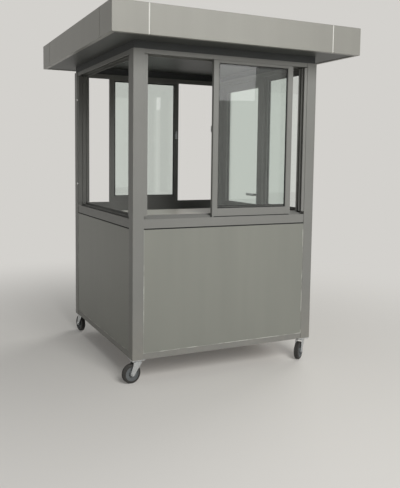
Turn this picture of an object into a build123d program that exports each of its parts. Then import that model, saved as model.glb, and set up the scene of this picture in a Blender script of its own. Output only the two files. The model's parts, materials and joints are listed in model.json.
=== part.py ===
from build123d import *
import os
from math import cos, radians, sin

os.makedirs("parts", exist_ok=True)

# Security guard booth on four swivel casters, in millimetres.
# The origin is on the floor under the booth's centre. The front faces -Y and +Z is up.

# Body
body_width = 1350.0
body_depth = 1350.0
post_size = 74.0
post_wall = 3.0
post_edge = 2.5
caster_height = 153.0
base_height = 40.0
sill_height = 835.0
window_height = 1102.0
seat_gap = 0.3

# Base frame and floor
base_rail_width = 50.0
bearer_width = 40.0
bearer_count = 5
floor_thickness = 18.0

# Wall panels below the windows
panel_setback = 3.0
panel_thickness = 50.0
seam_height = 8.0
seam_depth = 6.0

# Window frames with two tracks
frame_setback = 4.0
frame_depth = 70.0
frame_wall = 3.0
member_gap = 0.4
jamb_face = 22.0
jamb_pocket = 12.0
head_face = 28.0
head_inner_drop = 5.0
sill_outer_lip = 58.0
sill_step = 10.0
trough_depth = 16.0
rail_rise = 10.0
outer_track = 19.0
inner_track = 51.0
pocket_width = 28.0

# Sliding sashes
sash_thickness = 24.0
sash_stile = 40.0
sash_bottom_rail = 62.0
sash_top_rail = 40.0
bead_slope = 3.0
joint_line = 0.8
sash_play = 6.0
pocket_entry = 10.0
glass_thickness = 5.0
glass_play = 0.3
glass_bite = 8.0
front_outer_slide = 100.0
front_inner_slide = 489.0
back_inner_slide = 185.0
back_outer_slide = 369.0

# Crescent locks on the meeting stiles of the sashes
lock_height = 632.0
lock_plate_width = 16.0
lock_plate_height = 66.0
lock_plate_thickness = 3.0
lock_cam_radius = 14.0
lock_cam_thickness = 3.0
lock_boss_radius = 7.0
lock_boss_out = 8.0
lock_lever_length = 40.0
lock_lever_width = 9.0
lock_lever_thickness = 4.0
keeper_height = 40.0
keeper_past_edge = 3.0
keeper_on_stile = 18.0
keeper_thickness = 5.0

# Right wall: door post, fixed light and door
door_opening = 640.0
door_post_width = 60.0
light_stile = 34.0
light_bottom_rail = 89.0
light_thickness = 30.0
door_gap = 5.0
door_setback = 4.0
door_thickness = 40.0
door_stile = 60.0
door_top_rail = 60.0
door_mid_rail = 80.0
door_bottom_rail = 90.0
door_infill = 20.0
infill_bite = 8.0
stop_width = 14.0
stop_depth = 16.0
door_glass_sill = 70.0

# Door hinges and handle
hinge_out = 9.0
hinge_radius = 8.0
hinge_pin = 4.0
hinge_running = 0.08
hinge_length = 100.0
hinge_plate = 3.0
hinge_flap = 30.0
hinge_split = 1.0
hinge_inset = 130.0
handle_height = 950.0
handle_plate_width = 34.0
handle_plate_height = 180.0
handle_plate_thickness = 7.0
handle_plate_corner = 8.0
handle_plate_drop = 28.0
lock_cylinder_radius = 8.5
lock_cylinder_drop = 66.0
lock_cylinder_out = 10.0
lever_length = 118.0
lever_height = 20.0
lever_thickness = 12.0
lever_corner = 4.8
lever_neck_radius = 8.0
lever_reach = 42.0

# Roof
ring_height = 43.0
ring_width = 56.0
ring_setback = 8.0
overhang = 204.0
fascia_height = 181.0
sheet = 4.0
fascia_top_return = 40.0
fascia_bottom_return = 26.0
fascia_corner_leg = 222.0
fascia_joint = 10.0
fold_radius = 3.0
soffit_thickness = 6.0
deck_thickness = 20.0
deck_drop = 24.0

# Desk behind the front window
desk_thickness = 25.0
desk_top_height = 907.0
desk_depth = 446.0
desk_edge = 5.0
bracket_thickness = 6.0
bracket_drop = 255.0
bracket_reach = 340.0
bracket_nose = 16.0
bracket_spacing = 720.0

# Casters
caster_inset = 45.0
caster_plate = 90.0
caster_plate_thickness = 4.0
caster_plate_corner = 8.0
race_radius = 31.0
race_height = 6.0
race_gap = 1.0
cup_height = 4.0
king_pin = 7.0
king_pin_running = 0.08
king_head = 11.0
king_head_height = 5.0
trail = 40.0
wheel_radius = 62.5
wheel_width = 32.0
shoulder_depth = 6.0
shoulder_width = 4.5
rim_radius = 42.0
rim_draft = 3.0
web_thickness = 12.0
hub_boss_radius = 17.0
hub_boss_width = 40.0
hub_draft = 2.0
axle_radius = 6.0
axle_running = 0.08
axle_head = 10.0
axle_head_height = 5.0
fork_inside = 43.0
fork_sheet = 3.5
fork_bend = 6.5
fork_eye = 14.0
fork_taper = 3.5
fork_back = 27.0
fork_front = 30.0
caster_yaw = {"front_left": 190.0, "front_right": 218.0, "back_left": 98.0, "back_right": 62.0}

# Heights above the floor
base_top = caster_height + base_height
sill_z = caster_height + sill_height
head_z = sill_z + window_height
soffit_z = head_z + ring_height
roof_z = soffit_z + fascia_height
half_width = body_width / 2
half_depth = body_depth / 2


def write(piece, name):
    """Labels one finished piece and writes its file."""
    piece.part.label = name
    export_step(piece.part, f"parts/{name}.step")


def wall_plane(side, inward=0.0):
    """A wall's outer face: X runs right as seen from outside, Y is up and Z points out."""
    across = half_width - inward
    along = half_depth - inward
    planes = {
        "front": Plane(origin=(0, -along, 0), x_dir=(1, 0, 0), z_dir=(0, -1, 0)),
        "right": Plane(origin=(across, 0, 0), x_dir=(0, 1, 0), z_dir=(1, 0, 0)),
        "back": Plane(origin=(0, along, 0), x_dir=(-1, 0, 0), z_dir=(0, 1, 0)),
        "left": Plane(origin=(-across, 0, 0), x_dir=(0, -1, 0), z_dir=(-1, 0, 0)),
    }
    return planes[side]


def wall_span(side):
    """Clear width between the two corner posts of a wall."""
    length = body_width if side in ("front", "back") else body_depth
    return length - 2 * post_size


def slab(face, left, right, low, high, thickness, mode=Mode.ADD):
    """Adds a slab to the open part, or cuts one away: a rectangle on a wall face, extruded inward."""
    with BuildSketch(face) as outline:
        with Locations(((left + right) / 2, (low + high) / 2)):
            Rectangle(right - left, high - low)
    extrude(outline.sketch, amount=-thickness, mode=mode)


def pane_groove(face, left, right, low, high, bite, infill):
    """Cuts the groove round an opening that holds a pane or a panel."""
    edge = bite + glass_play
    slab(face, left - edge, right + edge, low - edge, high + edge, infill + 2 * glass_play, Mode.SUBTRACT)


def cross_section(side, inward, along):
    """A cut across a wall: X is the depth inward from the given face and Y is up."""
    face = wall_plane(side, inward)
    return Plane(origin=face.origin + face.x_dir * along, x_dir=-face.z_dir, z_dir=face.x_dir)


def butt_joints(face, thickness, stile_edges, rails):
    """Cuts a hairline into both faces of a glazed frame wherever a rail meets a stile."""
    for near in (0.0, thickness - joint_line):
        with BuildSketch(face.offset(-near)) as lines:
            for edge in stile_edges:
                for low, high in rails:
                    with Locations((edge, (low + high) / 2)):
                        Rectangle(joint_line, high - low)
        extrude(lines.sketch, amount=-joint_line, mode=Mode.SUBTRACT)


# Base frame: a rail between the posts on each side, and floor bearers from the front rail to the back
rail_inner_x = half_width - panel_setback - base_rail_width
rail_inner_y = half_depth - panel_setback - base_rail_width
bearer_pitch = 2 * rail_inner_x / (bearer_count + 1)
with BuildPart() as base_frame:
    with BuildSketch(Plane.XY.offset(caster_height)):
        for sign in (-1, 1):
            with Locations((0, sign * (rail_inner_y + base_rail_width / 2))):
                Rectangle(body_width - 2 * (post_size + seat_gap), base_rail_width)
            with Locations((sign * (rail_inner_x + base_rail_width / 2), 0)):
                Rectangle(base_rail_width, body_depth - 2 * (post_size + seat_gap))
        with GridLocations(bearer_pitch, 1, bearer_count, 1):
            Rectangle(bearer_width, 2 * (rail_inner_y - seat_gap))
    extrude(amount=base_height)
write(base_frame, "base_frame")

# Right wall places, measured along it from its middle, towards the back
door_right = wall_span("right") / 2
door_left = door_right - door_opening
light_right = door_left - door_post_width
light_left = -wall_span("right") / 2
stop_face = door_setback + door_thickness + door_gap

wall_inner = panel_setback + panel_thickness
with BuildPart() as floor_panel:
    with BuildSketch(Plane.XY.offset(base_top)):
        Rectangle(
            2 * (half_width - wall_inner - seat_gap),
            2 * (half_depth - wall_inner - seat_gap),
        )
        with GridLocations(body_width - post_size, body_depth - post_size, 2, 2):
            Rectangle(post_size + 2 * seat_gap, post_size + 2 * seat_gap, mode=Mode.SUBTRACT)
        with Locations((half_width - post_size / 2, (light_right + door_left) / 2)):
            Rectangle(post_size + 2 * seat_gap, door_post_width + 2 * seat_gap, mode=Mode.SUBTRACT)
        with Locations((half_width - stop_face - stop_depth / 2, door_left + stop_width / 2)):
            Rectangle(stop_depth + 2 * seat_gap, stop_width + 2 * seat_gap, mode=Mode.SUBTRACT)
    extrude(amount=floor_thickness)
write(floor_panel, "floor_panel")

# Corner posts: square tubes over the full height of the walls
corners = {"front_left": (-1, -1), "front_right": (1, -1), "back_left": (-1, 1), "back_right": (1, 1)}
for corner, (sign_x, sign_y) in corners.items():
    centre = (sign_x * (half_width - post_size / 2), sign_y * (half_depth - post_size / 2))
    with BuildPart() as post:
        with BuildSketch(Plane.XY.offset(caster_height)):
            with Locations(centre):
                RectangleRounded(post_size, post_size, post_edge)
                Rectangle(post_size - 2 * post_wall, post_size - 2 * post_wall, mode=Mode.SUBTRACT)
        extrude(amount=head_z - caster_height)
    write(post, f"post_{corner}")

# Lower wall panels, with a recessed seam under the window frames
panel_runs = {
    "front": (-wall_span("front") / 2, wall_span("front") / 2),
    "left": (-wall_span("left") / 2, wall_span("left") / 2),
    "back": (-wall_span("back") / 2, wall_span("back") / 2),
    "right": (light_left, light_right),
}
for side, (run_left, run_right) in panel_runs.items():
    with BuildPart() as panel:
        slab(
            wall_plane(side, panel_setback),
            run_left,
            run_right,
            base_top,
            sill_z - seam_height,
            panel_thickness,
        )
        slab(
            wall_plane(side, panel_setback + seam_depth),
            run_left,
            run_right,
            sill_z - seam_height,
            sill_z,
            panel_thickness - seam_depth,
        )
    write(panel, f"panel_{side}")

# Sliding window frames: a stepped sill with two rails, a head channel and two pocketed jambs
outer_lip_z = sill_z + sill_outer_lip
middle_lip_z = outer_lip_z + sill_step
inner_lip_z = middle_lip_z + sill_step
outer_rail_z = outer_lip_z - trough_depth + rail_rise
inner_rail_z = outer_rail_z + sill_step
head_low_z = head_z - head_face
middle_wall = (outer_track + inner_track) / 2
half_wall = frame_wall / 2
outer_floor = outer_lip_z - trough_depth
inner_floor = outer_floor + sill_step

for side in ("front", "left", "back"):
    span = wall_span(side) - 2 * seat_gap
    with BuildPart() as window_frame:
        with BuildSketch(cross_section(side, frame_setback, -span / 2)):
            with BuildLine():
                Polyline(
                    (0, sill_z),
                    (frame_depth, sill_z),
                    (frame_depth, inner_lip_z),
                    (frame_depth - frame_wall, inner_lip_z),
                    (frame_depth - frame_wall, inner_floor),
                    (inner_track + half_wall, inner_floor),
                    (inner_track + half_wall, inner_rail_z),
                    (inner_track - half_wall, inner_rail_z),
                    (inner_track - half_wall, inner_floor),
                    (middle_wall + half_wall, inner_floor),
                    (middle_wall + half_wall, middle_lip_z),
                    (middle_wall - half_wall, middle_lip_z),
                    (middle_wall - half_wall, outer_floor),
                    (outer_track + half_wall, outer_floor),
                    (outer_track + half_wall, outer_rail_z),
                    (outer_track - half_wall, outer_rail_z),
                    (outer_track - half_wall, outer_floor),
                    (frame_wall, outer_floor),
                    (frame_wall, outer_lip_z),
                    (0, outer_lip_z),
                    close=True,
                )
            make_face()
        extrude(amount=span)
        with BuildSketch(cross_section(side, frame_setback, -span / 2)):
            with Locations((frame_depth / 2, head_z - head_face / 2)):
                Rectangle(frame_depth, head_face)
            with Locations((frame_depth - frame_wall / 2, head_low_z - head_inner_drop / 2)):
                Rectangle(frame_wall, head_inner_drop)
            for track in (outer_track, inner_track):
                with Locations((track, head_low_z + (head_face - frame_wall) / 2)):
                    Rectangle(pocket_width, head_face - frame_wall, mode=Mode.SUBTRACT)
        extrude(amount=span)
        jamb_low = inner_lip_z + member_gap
        jamb_high = head_low_z - head_inner_drop - member_gap
        face = wall_plane(side, frame_setback)
        jamb_plane = Plane(origin=face.origin + face.y_dir * jamb_low, x_dir=face.x_dir, z_dir=face.y_dir)
        with BuildSketch(jamb_plane):
            for end in (-1, 1):
                with Locations((end * (span - jamb_face) / 2, frame_depth / 2)):
                    Rectangle(jamb_face, frame_depth)
                for track in (outer_track, inner_track):
                    with Locations((end * (span / 2 - jamb_face + jamb_pocket / 2), track)):
                        Rectangle(jamb_pocket, pocket_width, mode=Mode.SUBTRACT)
        extrude(amount=jamb_high - jamb_low)
    write(window_frame, f"window_frame_{side}")

# Sliding sashes: each is a glazed frame that stands on its rail, shown where it has been slid to
sash_clear = wall_span("front") - 2 * seat_gap - 2 * jamb_face
sash_width = (sash_clear + 2 * pocket_entry + sash_stile) / 2
closed_edge = sash_clear / 2 + pocket_entry
sash_top = head_z - sash_play
sashes = {
    "front_outer": ("front", outer_track, outer_rail_z, closed_edge - sash_width - front_outer_slide),
    "front_inner": ("front", inner_track, inner_rail_z, front_inner_slide - closed_edge),
    "back_outer": ("back", outer_track, outer_rail_z, back_outer_slide - closed_edge),
    "back_inner": ("back", inner_track, inner_rail_z, closed_edge - sash_width - back_inner_slide),
}
for name, (side, track, rail_z, left) in sashes.items():
    low = rail_z + seat_gap
    right = left + sash_width
    outer_face = wall_plane(side, frame_setback + track - sash_thickness / 2)
    groove_face = wall_plane(side, frame_setback + track - glass_thickness / 2 - glass_play)
    stile_edges = (left + sash_stile, right - sash_stile)
    rail_edges = (low + sash_bottom_rail, sash_top - sash_top_rail)
    with BuildPart() as sash:
        slab(outer_face, left, right, low, sash_top, sash_thickness)
        slab(outer_face, *stile_edges, *rail_edges, sash_thickness, Mode.SUBTRACT)
        chamfer(sash.edges(Select.LAST).filter_by(Axis.Y, reverse=True), length=bead_slope)
        pane_groove(groove_face, *stile_edges, *rail_edges, glass_bite, glass_thickness)
        rails = ((low, rail_edges[0]), (rail_edges[1], sash_top))
        butt_joints(outer_face, sash_thickness, stile_edges, rails)
    write(sash, f"sash_{name}")

for side in ("front", "back"):
    with BuildPart() as pane:
        for name, (sash_side, track, rail_z, left) in sashes.items():
            if sash_side == side:
                slab(
                    wall_plane(side, frame_setback + track - glass_thickness / 2),
                    left + sash_stile - glass_bite,
                    left + sash_width - sash_stile + glass_bite,
                    rail_z + seat_gap + sash_bottom_rail - glass_bite,
                    sash_top - sash_top_rail + glass_bite,
                    glass_thickness,
                )
    write(pane, f"glass_{side}")

# Crescent locks: plate, cam and lever on each inner sash, and a keeper on each outer one
lock_z = sill_z + lock_height
meeting_hand = {"front_outer": -1, "front_inner": 1, "back_outer": 1, "back_inner": -1}
with BuildPart() as sash_locks:
    for name, (side, track, rail_z, left) in sashes.items():
        hand = meeting_hand[name]
        edge = left + (1 + hand) * sash_width / 2
        room_face = wall_plane(side, frame_setback + track + sash_thickness / 2)
        if track == outer_track:
            ends = sorted((edge + hand * keeper_past_edge, edge - hand * keeper_on_stile))
            slab(room_face, *ends, lock_z - keeper_height / 2, lock_z + keeper_height / 2, keeper_thickness)
            continue
        pivot = (edge - hand * sash_stile / 2, lock_z)
        with BuildSketch(room_face):
            with Locations(pivot):
                SlotOverall(lock_plate_height, lock_plate_width, rotation=90)
        extrude(amount=-lock_plate_thickness)
        with BuildSketch(room_face.offset(-lock_plate_thickness)):
            with Locations(pivot):
                Circle(lock_cam_radius)
                Rectangle(
                    lock_cam_radius,
                    2 * lock_cam_radius,
                    align=(Align.MIN if hand < 0 else Align.MAX, Align.CENTER),
                    mode=Mode.INTERSECT,
                )
        extrude(amount=-lock_cam_thickness)
        with BuildSketch(room_face):
            with Locations(pivot):
                Circle(lock_boss_radius)
        extrude(amount=-lock_boss_out)
        with BuildSketch(room_face.offset(-lock_boss_out)):
            with Locations((pivot[0], lock_z + (lock_lever_length - lock_lever_width) / 2)):
                SlotOverall(lock_lever_length, lock_lever_width, rotation=90)
        extrude(amount=-lock_lever_thickness)
write(sash_locks, "sash_locks")

# Right wall: post between the door and the fixed light, with a stop for the door
with BuildPart() as door_post:
    slab(wall_plane("right"), light_right + seat_gap, door_left, base_top, head_low_z, post_size)
    slab(wall_plane("right", stop_face), door_left, door_left + stop_width, base_top, head_low_z, stop_depth)
write(door_post, "door_post")

# Head over the door and the fixed light, with the door's top stop
with BuildPart() as right_head:
    slab(
        wall_plane("right", frame_setback),
        light_left + seat_gap,
        door_right - seat_gap,
        head_low_z,
        head_z,
        frame_depth,
    )
    slab(
        wall_plane("right", stop_face),
        door_left + stop_width + seat_gap,
        door_right - seat_gap,
        head_low_z - stop_width,
        head_low_z,
        stop_depth,
    )
write(right_head, "right_head")

# Fixed light beside the door
light_span = (light_left + seat_gap, light_right - seat_gap)
light_height = (sill_z, head_low_z - seat_gap)
light_stiles = (light_span[0] + light_stile, light_span[1] - light_stile)
light_rails = (sill_z + light_bottom_rail, light_height[1] - light_stile)
light_inward = frame_setback + (frame_depth - light_thickness) / 2
with BuildPart() as light_frame:
    slab(wall_plane("right", light_inward), *light_span, *light_height, light_thickness)
    slab(wall_plane("right", light_inward), *light_stiles, *light_rails, light_thickness, Mode.SUBTRACT)
    chamfer(light_frame.edges(Select.LAST).filter_by(Axis.X, reverse=True), length=bead_slope)
    groove_face = wall_plane("right", light_inward + (light_thickness - glass_thickness) / 2 - glass_play)
    pane_groove(groove_face, *light_stiles, *light_rails, glass_bite, glass_thickness)
    rails = ((light_height[0], light_rails[0]), (light_rails[1], light_height[1]))
    butt_joints(wall_plane("right", light_inward), light_thickness, light_stiles, rails)
write(light_frame, "light_frame_right")

with BuildPart() as light_glass:
    slab(
        wall_plane("right", light_inward + (light_thickness - glass_thickness) / 2),
        light_stiles[0] - glass_bite,
        light_stiles[1] + glass_bite,
        light_rails[0] - glass_bite,
        light_rails[1] + glass_bite,
        glass_thickness,
    )
write(light_glass, "glass_right")

# Door leaf: stiles and rails, a panel below and glass above
leaf_left = door_left + door_gap
leaf_right = door_right - door_gap
leaf_low = base_top + door_gap
leaf_high = head_low_z - door_gap
field_left = leaf_left + door_stile
field_right = leaf_right - door_stile
panel_field = (leaf_low + door_bottom_rail, sill_z - door_mid_rail / 2)
glass_field = (sill_z + door_glass_sill, leaf_high - door_top_rail)
with BuildPart() as door_leaf:
    leaf_face = wall_plane("right", door_setback)
    slab(leaf_face, leaf_left, leaf_right, leaf_low, leaf_high, door_thickness)
    for field, infill in ((panel_field, door_infill), (glass_field, glass_thickness)):
        slab(leaf_face, field_left, field_right, *field, door_thickness, Mode.SUBTRACT)
        chamfer(door_leaf.edges(Select.LAST).filter_by(Axis.X, reverse=True), length=bead_slope)
        groove_face = leaf_face.offset(-(door_thickness - infill) / 2 + glass_play)
        pane_groove(groove_face, field_left, field_right, *field, infill_bite, infill)
    rails = (
        (leaf_low, panel_field[0]),
        (panel_field[1], glass_field[0]),
        (glass_field[1], leaf_high),
    )
    butt_joints(leaf_face, door_thickness, (field_left, field_right), rails)
write(door_leaf, "door_leaf")

fillings = {
    "door_panel": (panel_field, door_infill),
    "door_glass": (glass_field, glass_thickness),
}
for name, (field, infill) in fillings.items():
    with BuildPart() as filling:
        slab(
            wall_plane("right", door_setback + (door_thickness - infill) / 2),
            field_left - infill_bite,
            field_right + infill_bite,
            field[0] - infill_bite,
            field[1] + infill_bite,
            infill,
        )
    write(filling, name)

# Door hinges: three knuckle hinges on the outside, at the back post
hinge_x = half_width + hinge_out
hinge_y = door_right - door_gap / 2
knuckle = (hinge_length - 2 * hinge_split) / 3
post_flap_start = hinge_y + hinge_radius + hinge_split
hinge_heights = (leaf_low + hinge_inset, (leaf_low + leaf_high) / 2, leaf_high - hinge_inset)
with BuildPart() as hinge_posts:
    for height in hinge_heights:
        for third in (0, 2):
            low = height - hinge_length / 2 + third * (knuckle + hinge_split)
            with BuildSketch(Plane.XY.offset(low)):
                with Locations((hinge_x, hinge_y)):
                    Circle(hinge_radius)
                with Locations((half_width + hinge_plate / 2, (hinge_y + post_flap_start) / 2)):
                    Rectangle(hinge_plate, post_flap_start - hinge_y)
            extrude(amount=knuckle)
        with BuildSketch(Plane.XY.offset(height - hinge_length / 2)):
            with Locations((hinge_x, hinge_y)):
                Circle(hinge_pin)
            with Locations((half_width + hinge_plate / 2, post_flap_start + hinge_flap / 2)):
                Rectangle(hinge_plate, hinge_flap)
        extrude(amount=hinge_length)
write(hinge_posts, "door_hinge_posts")

leaf_face_x = half_width - door_setback
with BuildPart() as hinge_flaps:
    for height in hinge_heights:
        low = height - knuckle / 2
        with BuildSketch(Plane.XY.offset(low)):
            with Locations((hinge_x, hinge_y)):
                Circle(hinge_radius)
            with Locations(((leaf_face_x + hinge_x) / 2, hinge_y - hinge_radius / 2)):
                Rectangle(hinge_x - leaf_face_x, hinge_radius)
            with Locations((hinge_x, hinge_y)):
                Circle(hinge_pin + hinge_running, mode=Mode.SUBTRACT)
        extrude(amount=knuckle)
        with BuildSketch(Plane.XY.offset(low)):
            with Locations((leaf_face_x + hinge_plate / 2, hinge_y - hinge_radius / 2 - hinge_flap / 2)):
                Rectangle(hinge_plate, hinge_flap)
        extrude(amount=knuckle)
write(hinge_flaps, "door_hinge_flaps")

# Door handle: a plate with a lever and a lock cylinder on each side of the stile
handle_y = leaf_left + door_stile / 2
handle_z = base_top + handle_height
with BuildPart() as door_handle:
    for inward, out in ((door_setback, 1), (door_setback + door_thickness, -1)):
        face = wall_plane("right", inward)
        with BuildSketch(face):
            with Locations((handle_y, handle_z - handle_plate_drop)):
                RectangleRounded(handle_plate_width, handle_plate_height, handle_plate_corner)
        extrude(amount=out * handle_plate_thickness)
        with BuildSketch(face):
            with Locations((handle_y, handle_z)):
                Circle(lever_neck_radius)
        extrude(amount=out * lever_reach)
        with BuildSketch(face):
            with Locations((handle_y, handle_z - lock_cylinder_drop)):
                Circle(lock_cylinder_radius)
        extrude(amount=out * lock_cylinder_out)
        bar_plane = Plane(
            origin=face.origin + face.x_dir * (handle_y - lever_height / 2) + face.z_dir * out * lever_reach,
            x_dir=face.y_dir,
            z_dir=face.x_dir,
        )
        with BuildSketch(bar_plane):
            with Locations((handle_z, 0)):
                RectangleRounded(lever_height, lever_thickness, lever_corner)
        extrude(amount=lever_length)
write(door_handle, "door_handle")

# Roof ring on the posts: four members set back behind the wall faces, which carry the soffit
ring_top = soffit_z + sheet
with BuildPart() as roof_ring:
    for side in ("front", "back"):
        reach = half_width - ring_setback
        slab(wall_plane(side, ring_setback), -reach, reach, head_z, ring_top, ring_width)
    for side in ("left", "right"):
        reach = half_depth - ring_setback - ring_width - member_gap
        slab(wall_plane(side, ring_setback), -reach, reach, head_z, ring_top, ring_width)
write(roof_ring, "roof_ring")

roof_half_width = half_width + overhang
roof_half_depth = half_depth + overhang
with BuildPart() as soffit:
    with BuildSketch(Plane.XY.offset(soffit_z + sheet)):
        Rectangle(2 * (roof_half_width - sheet - seat_gap), 2 * (roof_half_depth - sheet - seat_gap))
    extrude(amount=soffit_thickness)
write(soffit, "soffit_ceiling")

deck_z = roof_z - deck_drop - deck_thickness
with BuildPart() as roof_deck:
    with BuildSketch(Plane.XY.offset(deck_z)):
        Rectangle(2 * (roof_half_width - sheet - seat_gap), 2 * (roof_half_depth - sheet - seat_gap))
    extrude(amount=deck_thickness)
write(roof_deck, "roof_deck")

# Fascia: a sheet along each side of the roof, folded back at the top and the bottom
for side in ("front", "right", "back", "left"):
    reach = roof_half_width if side in ("front", "back") else roof_half_depth
    half = reach - fascia_corner_leg - fascia_joint
    with BuildPart() as fascia:
        with BuildSketch(cross_section(side, -overhang, -half)) as fold:
            with BuildLine():
                Polyline(
                    (0, soffit_z),
                    (fascia_bottom_return, soffit_z),
                    (fascia_bottom_return, soffit_z + sheet),
                    (sheet, soffit_z + sheet),
                    (sheet, roof_z - sheet),
                    (fascia_top_return, roof_z - sheet),
                    (fascia_top_return, roof_z),
                    (0, roof_z),
                    close=True,
                )
            make_face()
            fillet(fold.vertices().group_by(Axis.X)[0], radius=fold_radius)
        extrude(amount=2 * half)
    write(fascia, f"fascia_{side}")

# Fascia corners: the same tray folded round each corner
with BuildPart() as fascia_corners:
    with BuildSketch(Plane.XY.offset(soffit_z)):
        Rectangle(2 * roof_half_width, 2 * roof_half_depth)
    extrude(amount=fascia_height)
    fillet(fascia_corners.edges(), radius=fold_radius)
    with BuildSketch(Plane.XY.offset(soffit_z + sheet)):
        Rectangle(2 * (roof_half_width - sheet), 2 * (roof_half_depth - sheet))
    extrude(amount=fascia_height - 2 * sheet, mode=Mode.SUBTRACT)
    with BuildSketch(Plane.XY.offset(roof_z - sheet)):
        Rectangle(2 * (roof_half_width - fascia_top_return), 2 * (roof_half_depth - fascia_top_return))
    extrude(amount=sheet, mode=Mode.SUBTRACT)
    with BuildSketch(Plane.XY.offset(soffit_z)):
        Rectangle(2 * (roof_half_width - fascia_bottom_return), 2 * (roof_half_depth - fascia_bottom_return))
    extrude(amount=sheet, mode=Mode.SUBTRACT)
    with BuildSketch(Plane.XY.offset(soffit_z)):
        Rectangle(2 * (roof_half_width - fascia_corner_leg), 2 * roof_half_depth)
        Rectangle(2 * roof_half_width, 2 * (roof_half_depth - fascia_corner_leg))
    extrude(amount=fascia_height, mode=Mode.SUBTRACT)
write(fascia_corners, "fascia_corners")

# Desk behind the front window, on two gusset brackets
desk_low = caster_height + desk_top_height - desk_thickness
desk_front = -half_depth + frame_setback + frame_depth + seat_gap
with BuildPart() as desk_top:
    with BuildSketch(Plane.XY.offset(desk_low)):
        with Locations((0, desk_front + desk_depth / 2)):
            Rectangle(body_width - 2 * (frame_setback + frame_depth + seat_gap), desk_depth)
    extrude(amount=desk_thickness)
    fillet(desk_top.edges().filter_by(Axis.X).group_by(Axis.Y)[-1], radius=desk_edge)
write(desk_top, "desk_top")

panel_inner_y = -half_depth + wall_inner + seat_gap
bracket_low = desk_low - bracket_drop
with BuildPart() as desk_brackets:
    for sign in (-1, 1):
        centre = sign * bracket_spacing / 2
        section = Plane(origin=(centre - bracket_thickness / 2, 0, 0), x_dir=(0, 1, 0), z_dir=(1, 0, 0))
        with BuildSketch(section):
            with BuildLine():
                Polyline(
                    (panel_inner_y, bracket_low),
                    (panel_inner_y, sill_z - seat_gap),
                    (desk_front, sill_z - seat_gap),
                    (desk_front, desk_low - seat_gap),
                    (desk_front + bracket_reach, desk_low - seat_gap),
                    (desk_front + bracket_reach, desk_low - bracket_nose),
                    (panel_inner_y + bracket_nose, bracket_low),
                    close=True,
                )
            make_face()
        extrude(amount=bracket_thickness)
write(desk_brackets, "desk_brackets")

# Caster plates under the four corners, each with its upper race and king pin
race_z = caster_height - caster_plate_thickness - race_height
crown_top = race_z - race_gap - cup_height
crown_low = crown_top - fork_sheet
pivots = {
    corner: (sign_x * (half_width - caster_inset), sign_y * (half_depth - caster_inset))
    for corner, (sign_x, sign_y) in corners.items()
}
with BuildPart() as caster_plates:
    for pivot in pivots.values():
        with BuildSketch(Plane.XY.offset(caster_height - caster_plate_thickness)):
            with Locations(pivot):
                RectangleRounded(caster_plate, caster_plate, caster_plate_corner)
        extrude(amount=caster_plate_thickness)
        with BuildSketch(Plane.XY.offset(race_z)):
            with Locations(pivot):
                Circle(race_radius)
        extrude(amount=race_height)
        king_low = crown_low - race_gap - king_head_height
        with BuildSketch(Plane.XY.offset(king_low)):
            with Locations(pivot):
                Circle(king_pin)
        extrude(amount=race_z - king_low)
        with BuildSketch(Plane.XY.offset(king_low)):
            with Locations(pivot):
                RegularPolygon(king_head, 6)
        extrude(amount=king_head_height)
write(caster_plates, "caster_plates")

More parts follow.
